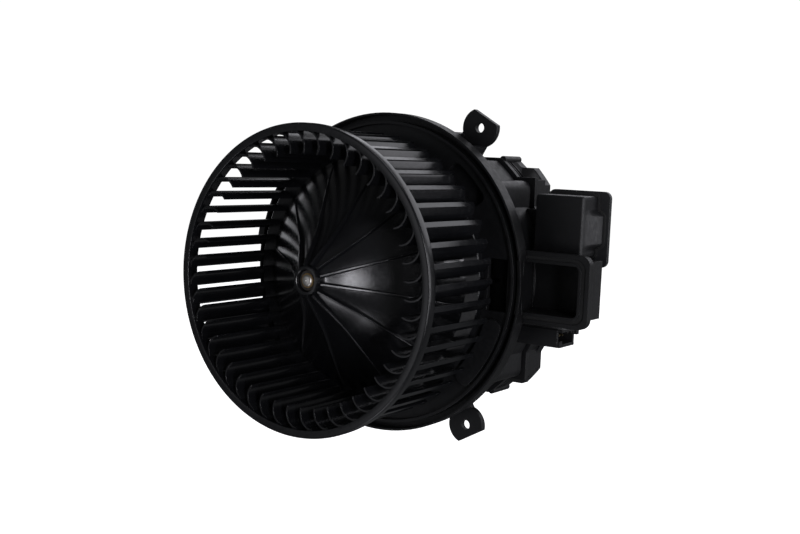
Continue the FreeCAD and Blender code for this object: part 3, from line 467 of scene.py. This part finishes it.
def make_drum():
    """The drum's wall with a port to the cooling duct and a sunk band in front of the cover's rim."""
    rows = [(DRUM_FRONT, 0.0), (PORT_FRONT, 0.0), (PORT_BACK, 0.0), (SEAM_FRONT, 0.0),
            (SEAM_FRONT + 0.2, SEAM_DEPTH), (DRUM_BACK, SEAM_DEPTH), (DRUM_BACK, DRUM_WALL),
            (PORT_BACK, DRUM_WALL), (PORT_FRONT, DRUM_WALL), (DRUM_FRONT, DRUM_WALL)]
    loops = [[(u, y, v) for u, v in drum_outline(inset)] for y, inset in rows]
    count = len(loops[0])
    points = [point for loop in loops for point in loop]
    port_faces = {count, 7 * count}
    faces = [face for face in grid_faces(len(rows), count, True, True) if face[0] not in port_faces]
    outer = (count, count + 1, 2 * count + 1, 2 * count)
    inner = (8 * count, 8 * count + 1, 7 * count + 1, 7 * count)
    faces += [(outer[k], outer[(k + 1) % 4], inner[(k + 1) % 4], inner[k]) for k in range(4)]
    return piece("drum_wall", points, faces, "housing", "housing_plastic", sharp=28.0,
                 replaces=["carrier_drum"])


make_drum()


# ---------------------------------------------------------------- cooling duct, socket and regulator

SOCKET_START, SOCKET_END = 64.0, 97.0
SOCKET_LOW, SOCKET_HIGH, PIN_FLOOR = -29.5, -20.2, SOCKET_END - 14.0


def slab(u, v, low, high, radius=0.3):
    """A bar along X with rounded edges; u and v are its spans in Y and Z."""
    corners = [(u[0], v[0], radius), (u[1], v[0], radius), (u[1], v[1], radius), (u[0], v[1], radius)]
    return prism(round_corners(corners, 2), low, high, "x")


def make_socket():
    """The plug socket: four walls, a floor behind the pins, keys and a hood along its top."""
    parts = [
        slab((-1.9, 17.4), (SOCKET_HIGH - 1.5, SOCKET_HIGH), SOCKET_START, SOCKET_END + 0.9),
        slab((-1.7, 14.8), (SOCKET_LOW, SOCKET_LOW + 1.5), SOCKET_START, SOCKET_END - 0.6),
        slab((-2.0, -0.5), (-29.3, -20.6), SOCKET_START + 0.2, SOCKET_END - 1.8),
        slab((-1.8, 0.9), (-29.1, -26.2), SOCKET_START + 0.4, SOCKET_END - 0.2),
        slab((13.6, 15.0), (-29.2, -20.8), SOCKET_START + 0.2, SOCKET_END - 0.8),
        slab((14.4, 17.2), (-24.2, -20.9), SOCKET_START + 8.0, SOCKET_END + 0.7),
        slab((-1.4, 14.4), (-29.0, -20.7), PIN_FLOOR - 1.5, PIN_FLOOR),
        slab((5.4, 6.6), (-22.8, -21.2), PIN_FLOOR - 0.5, SOCKET_END),
        slab((9.8, 11.0), (-22.8, -21.2), PIN_FLOOR - 0.5, SOCKET_END),
    ]
    return piece("socket_body", *merged(parts), "housing", NODE_SLOT["connector_housing"],
                 replaces=["connector_housing"])


BOX_LEFT, BOX_RIGHT, BOX_LOW, BOX_HIGH, BOX_BACK, BOX_EDGE = 78.5, 104.0, 15.5, 45.3, 17.6, 0.9
BRACKET_FRONT, BRACKET_LOW, BRACKET_HIGH, BRACKET_LEFT = 13.5, 19.0, 37.0, 66.0
BULGE_LOW, BULGE_HIGH, BULGE_OUT = 18.5, 39.0, 3.7
# The gasket's outline in mm; its dark rubber is partly a real gasket and partly painted shade for the gap
# between box and lid.
SHADE_GASKET_LEFT, SHADE_GASKET_RIGHT, SHADE_GASKET_LOW, SHADE_GASKET_HIGH = 77.2, 104.8, 14.6, 46.6
SHADE_GASKET_BULGE, SHADE_GASKET_FRONT, SHADE_GASKET_BACK, SHADE_GASKET_OPENING = 108.6, 17.0, 17.98, 0.86
MOUTH_WALL_OUTER, MOUTH_WALL_INNER, MOUTH_WALL_SWEEP = 80.7, 79.7, 9.5
MOUTH_WALL_FRONT, MOUTH_WALL_BACK = -17.0, -3.0


def ease(value, start, stop):
    """Smoothly from 0 at start to 1 at stop."""
    s = min(max((value - start) / (stop - start), 0.0), 1.0)
    return s * s * (3 - 2 * s)


def make_regulator_box():
    """The electronics box: rounded at the front, with a bulge that grows towards its lid.

    A bracket at its back holds it beside the drum."""
    heights = np.linspace(BOX_LOW + 1.2, BOX_HIGH - 1.2, 40)
    loops = []
    rows = [(0.0, BOX_EDGE), (0.25, 0.3)]
    rows += [(y, 0.0) for y in (BOX_EDGE, 3.0, 6.0, 9.0, 12.0, 15.0, BOX_BACK)]
    for y, inset in rows:
        low, high, right, left = BOX_LOW + inset, BOX_HIGH - inset, BOX_RIGHT - inset, BOX_LEFT + inset
        loop = [(left, y, low + 1.0), (left + 0.3, y, low + 0.3), (left + 1.0, y, low)]
        loop += [(right - 1.0, y, low), (right - 0.3, y, low + 0.3)]
        for z in heights:
            bump = ease(z, BULGE_LOW, BULGE_LOW + 3.5) * (1 - ease(z, BULGE_HIGH - 3.5, BULGE_HIGH))
            loop.append((right + BULGE_OUT * bump * ease(y, 2.0, BOX_BACK), y, z))
        loop += [(right - 0.3, y, high - 0.3), (right - 1.0, y, high)]
        loop += [(left + 1.0, y, high), (left + 0.3, y, high - 0.3), (left, y, high - 1.0)]
        loops.append(loop)
    points = [point for loop in loops for point in loop]
    box = (points, bar_faces(len(loops), len(loops[0])))
    bracket = slab((BRACKET_FRONT, BOX_BACK + 0.3), (BRACKET_LOW, BRACKET_HIGH), BRACKET_LEFT,
                   BOX_LEFT + 0.6, 0.6)
    return piece("regulator_box", *merged([box, bracket]), "housing",
                 NODE_SLOT["regulator_housing"], sharp=40.0, replaces=["regulator_housing"])


def make_gasket_gap_shade():
    """A thin rubber gasket between the regulator's box and its lid; it follows the box's bulge. Its dark
    matte face is also painted shade: it stands for the shadow in the gap between box and lid.
    """
    outline = round_corners([
        (SHADE_GASKET_LEFT, SHADE_GASKET_LOW, 1), (SHADE_GASKET_RIGHT, SHADE_GASKET_LOW, 2), (SHADE_GASKET_RIGHT, 18.0, 1.5),
        (SHADE_GASKET_BULGE, 20.6, 3), (SHADE_GASKET_BULGE, 36.4, 3), (SHADE_GASKET_RIGHT, 39.2, 1.5),
        (SHADE_GASKET_RIGHT, SHADE_GASKET_HIGH, 2), (SHADE_GASKET_LEFT, SHADE_GASKET_HIGH, 1)])
    centre = (91.5, (SHADE_GASKET_LOW + SHADE_GASKET_HIGH) / 2)
    inner = [(centre[0] + (u - centre[0]) * SHADE_GASKET_OPENING, centre[1] + (v - centre[1]) * SHADE_GASKET_OPENING)
             for u, v in outline]
    count = len(outline)
    loops = ((outline, SHADE_GASKET_FRONT), (outline, SHADE_GASKET_BACK), (inner, SHADE_GASKET_BACK), (inner, SHADE_GASKET_FRONT))
    points = [(u, y, v) for loop, y in loops for u, v in loop]
    # Dark matte rubber: a real gasket, and also painted shade for the shadowed gap between box and lid.
    return piece("lid_gasket_gap_shade", points, grid_faces(4, count, True, True), "housing", "rubber")


def make_mouth_side():
    """The curved wall that closes the duct's mouth beside the flange."""
    section = ((MOUTH_WALL_OUTER, MOUTH_WALL_FRONT), (MOUTH_WALL_OUTER, MOUTH_WALL_BACK),
               (MOUTH_WALL_INNER, MOUTH_WALL_BACK), (MOUTH_WALL_INNER, MOUTH_WALL_FRONT))
    angles = np.radians(np.linspace(-MOUTH_WALL_SWEEP, MOUTH_WALL_SWEEP, 13))
    points = [(radius * math.cos(angle), y, radius * math.sin(angle))
              for angle in angles for radius, y in section]
    faces = bar_faces(len(angles), len(section))
    return piece("mouth_side_wall", points, faces, "housing", "housing_plastic")


make_socket()
make_regulator_box()
make_gasket_gap_shade()
make_mouth_side()


# ---------------------------------------------------------------- rear cover

SHELF_INNER, SHELF_OUTER, SHELF_START, SHELF_STOP = 58.0, 73.4, 32.0, 58.0
SHELF_FRONT, SHELF_BACK = -10.5, -9.0
BAND_RADIUS, LATCH_HEIGHT, SHOULDER_HEIGHT, LATCH_RIB_PLACES = 77.0, 61.3, 52.8, (24.6, 27.4)
# The corner's outline as (x, z), on the band and on the wider back, and where each lies in Y.
SLOPE_FRONT, SLOPE_BACK, SLOPE_FOOT = 27.8, 32.7, 0.985
BAND_CORNER = [(46.0, 60.6), (54.6, 51.7), (59.0, 51.7), (62.6, 51.7), (65.9, 51.2), (66.4, 48.4)]
BACK_CORNER = [(46.0, 62.6), (52.0, 57.4), (59.0, 57.4), (62.6, 53.6), (65.2, 50.2), (66.4, 48.6)]


def make_window_floor():
    """The shelf that is seen through the flange's curved window."""
    angles = np.radians(np.linspace(SHELF_START, SHELF_STOP, 14))
    outline = [(SHELF_OUTER * math.cos(a), SHELF_OUTER * math.sin(a)) for a in angles]
    outline += [(SHELF_INNER * math.cos(a), SHELF_INNER * math.sin(a)) for a in angles[::-1]]
    return piece("window_floor", *prism(outline, SHELF_FRONT, SHELF_BACK), "housing", "housing_plastic")


def make_latch_ribs():
    """Two pairs of thin ribs on the cover's band, from each latch bar to the shoulder."""
    section = ((BAND_RADIUS - 1.0, -0.45), (BAND_RADIUS + 0.3, -0.3), (BAND_RADIUS + 0.3, 0.3),
               (BAND_RADIUS - 1.0, 0.45))
    angles = np.linspace(math.asin(LATCH_HEIGHT / BAND_RADIUS), math.asin(SHOULDER_HEIGHT / BAND_RADIUS), 10)
    ribs = []
    for side in (1, -1):
        for y in LATCH_RIB_PLACES:
            points = [(radius * math.cos(angle), y + lift, side * radius * math.sin(angle))
                      for angle in angles for radius, lift in section]
            ribs.append((points, bar_faces(len(angles), len(section))))
    return piece("latch_ribs", *merged(ribs), "housing", NODE_SLOT["rear_cover"])


def make_corner_slopes():
    """The sloping step from the cover's band up to its wider back, at the two right corners."""
    slopes = []
    for side in (1, -1):
        points = [(u, SLOPE_FRONT, side * v) for u, v in BAND_CORNER]
        points += [(u, SLOPE_BACK, side * v) for u, v in BACK_CORNER]
        points += [(u, SLOPE_BACK, side * v * SLOPE_FOOT) for u, v in BAND_CORNER]
        count = len(BACK_CORNER)
        faces = grid_faces(3, count, True, False)
        faces += [(0, count, 2 * count), (count - 1, 2 * count - 1, 3 * count - 1)]
        slopes.append((points, faces))
    return piece("cover_corner_slopes", *merged(slopes), "housing", NODE_SLOT["rear_cover"], sharp=40.0)


make_window_floor()
make_latch_ribs()
make_corner_slopes()


# ---------------------------------------------------------------- camera, floor and light

# The camera's place in metres, its angles in degrees and its lens in mm.
CAMERA_PLACE = (0.3443, -0.50805, 0.06386)
CAMERA_AZIMUTH, CAMERA_ELEVATION, CAMERA_ROLL = 34.194, 5.782, 2.405
CAMERA_LENS = 51.82
FLOOR_HEIGHT, FLOOR_RADIUS, BACKDROP_RADIUS = -0.2, 6.0, 7.0
FLOOR_GLOW, BACKDROP_GLOW = 0.97, 1.05
LIGHT_COLOUR, SKY_COLOUR, SKY_STRENGTH = (0.94, 0.94, 1.0), (0.95, 0.97, 1.0, 1), 0.08
# Each light: its name, place, aim, width, height and power, in metres and watts.
LIGHTS = [
    ("top", (0.35, 0.1, 1.35), (0, 0, 0), 1.0, 0.8, 3.4),
    ("back_top", (0.1, 1.5, 0.75), (0, 0, 0), 2.0, 0.8, 6),
    ("back_left", (-1.6, 0.7, 0.3), (0, -0.04, 0), 1.0, 0.8, 1.8),
    ("back_right", (1.55, 0.85, 0.12), (0, 0, 0), 0.8, 0.9, 6),
    ("side_right", (1.5, -0.35, 0.3), (0.05, 0, 0), 0.7, 1.0, 1.8),
    ("front_left", (-0.5, -1.4, -0.1), (0.05, -0.05, 0), 0.6, 1.0, 0.9),
    ("front_strip", (1.12, -0.92, 0.03), (0, -0.06, 0), 0.16, 1.2, 9.5),
    ("below", (0.08, -0.6, -0.95), (0.02, -0.05, 0), 0.5, 0.4, 1.6),
]


def make_camera():
    """The camera looks along its azimuth and elevation and is rolled about its own axis."""
    azimuth, elevation, roll = (math.radians(a) for a in (CAMERA_AZIMUTH, CAMERA_ELEVATION, CAMERA_ROLL))
    back = Vector((math.sin(azimuth) * math.cos(elevation), -math.cos(azimuth) * math.cos(elevation),
                   math.sin(elevation)))
    level = Vector((math.cos(azimuth), math.sin(azimuth), 0))
    upright = back.cross(level)
    right = level * math.cos(roll) + upright * math.sin(roll)
    up = upright * math.cos(roll) - level * math.sin(roll)
    camera = bpy.data.objects.new("camera", bpy.data.cameras.new("camera"))
    bpy.context.scene.collection.objects.link(camera)
    camera.data.lens = CAMERA_LENS
    camera.data.sensor_width = 36.0
    camera.data.clip_start, camera.data.clip_end = 0.01, 50.0
    turn = Matrix((right, up, back)).transposed().to_4x4()
    camera.matrix_world = Matrix.Translation(CAMERA_PLACE) @ turn
    bpy.context.scene.camera = camera


def seen_only(thing):
    """A stage piece that the camera sees, and that lights and shades nothing."""
    thing.visible_diffuse = thing.visible_glossy = thing.visible_transmission = False
    thing.visible_shadow = False


def glowing(name, strength):
    """A material without gloss that shines white."""
    material, tree, shader = new_material(name)
    shader.inputs["Specular IOR Level"].default_value = 0.0
    shader.inputs["Emission Color"].default_value = (1, 1, 1, 1)
    shader.inputs["Emission Strength"].default_value = strength
    return material, tree, shader


def make_stage():
    """A pale floor and an even white backdrop all round."""
    bpy.ops.mesh.primitive_circle_add(vertices=96, radius=FLOOR_RADIUS, fill_type="NGON",
                                      location=(0, 0, FLOOR_HEIGHT))
    floor = bpy.context.object
    floor.name = "floor"
    material, tree, shader = glowing("floor_white", FLOOR_GLOW)
    pale = ramp(tree, noise(tree, 3.0), (0.88, 0.88, 0.88), (0.92, 0.92, 0.92))
    tree.links.new(pale, shader.inputs["Base Color"])
    shader.inputs["Roughness"].default_value = 0.9
    floor.data.materials.append(material)
    seen_only(floor)
    bpy.ops.mesh.primitive_uv_sphere_add(segments=64, ring_count=32, radius=BACKDROP_RADIUS)
    backdrop = bpy.context.object
    backdrop.name = "backdrop"
    material, tree, shader = glowing("backdrop_white", BACKDROP_GLOW)
    shader.inputs["Base Color"].default_value = (0, 0, 0, 1)
    backdrop.data.materials.append(material)
    seen_only(backdrop)


def soft_box(name, place, aim, width, height, power):
    """A rectangular studio light."""
    data = bpy.data.lights.new(name, "AREA")
    data.shape = "RECTANGLE"
    data.size, data.size_y = width, height
    data.energy = power
    data.color = LIGHT_COLOUR
    light = bpy.data.objects.new(name, data)
    light.location = place
    light.rotation_mode = "QUATERNION"
    light.rotation_quaternion = (Vector(aim) - Vector(place)).to_track_quat("-Z", "Y")
    light.visible_camera = False
    bpy.context.scene.collection.objects.link(light)


def make_lights():
    """A faint even sky and the studio lights."""
    world = bpy.data.worlds.new("studio")
    bpy.context.scene.world = world
    world.use_nodes = True
    world.node_tree.nodes["Background"].inputs["Color"].default_value = SKY_COLOUR
    world.node_tree.nodes["Background"].inputs["Strength"].default_value = SKY_STRENGTH
    for light in LIGHTS:
        soft_box(*light)


make_camera()
make_stage()
make_lights()
bpy.context.scene.view_settings.view_transform = "Standard"
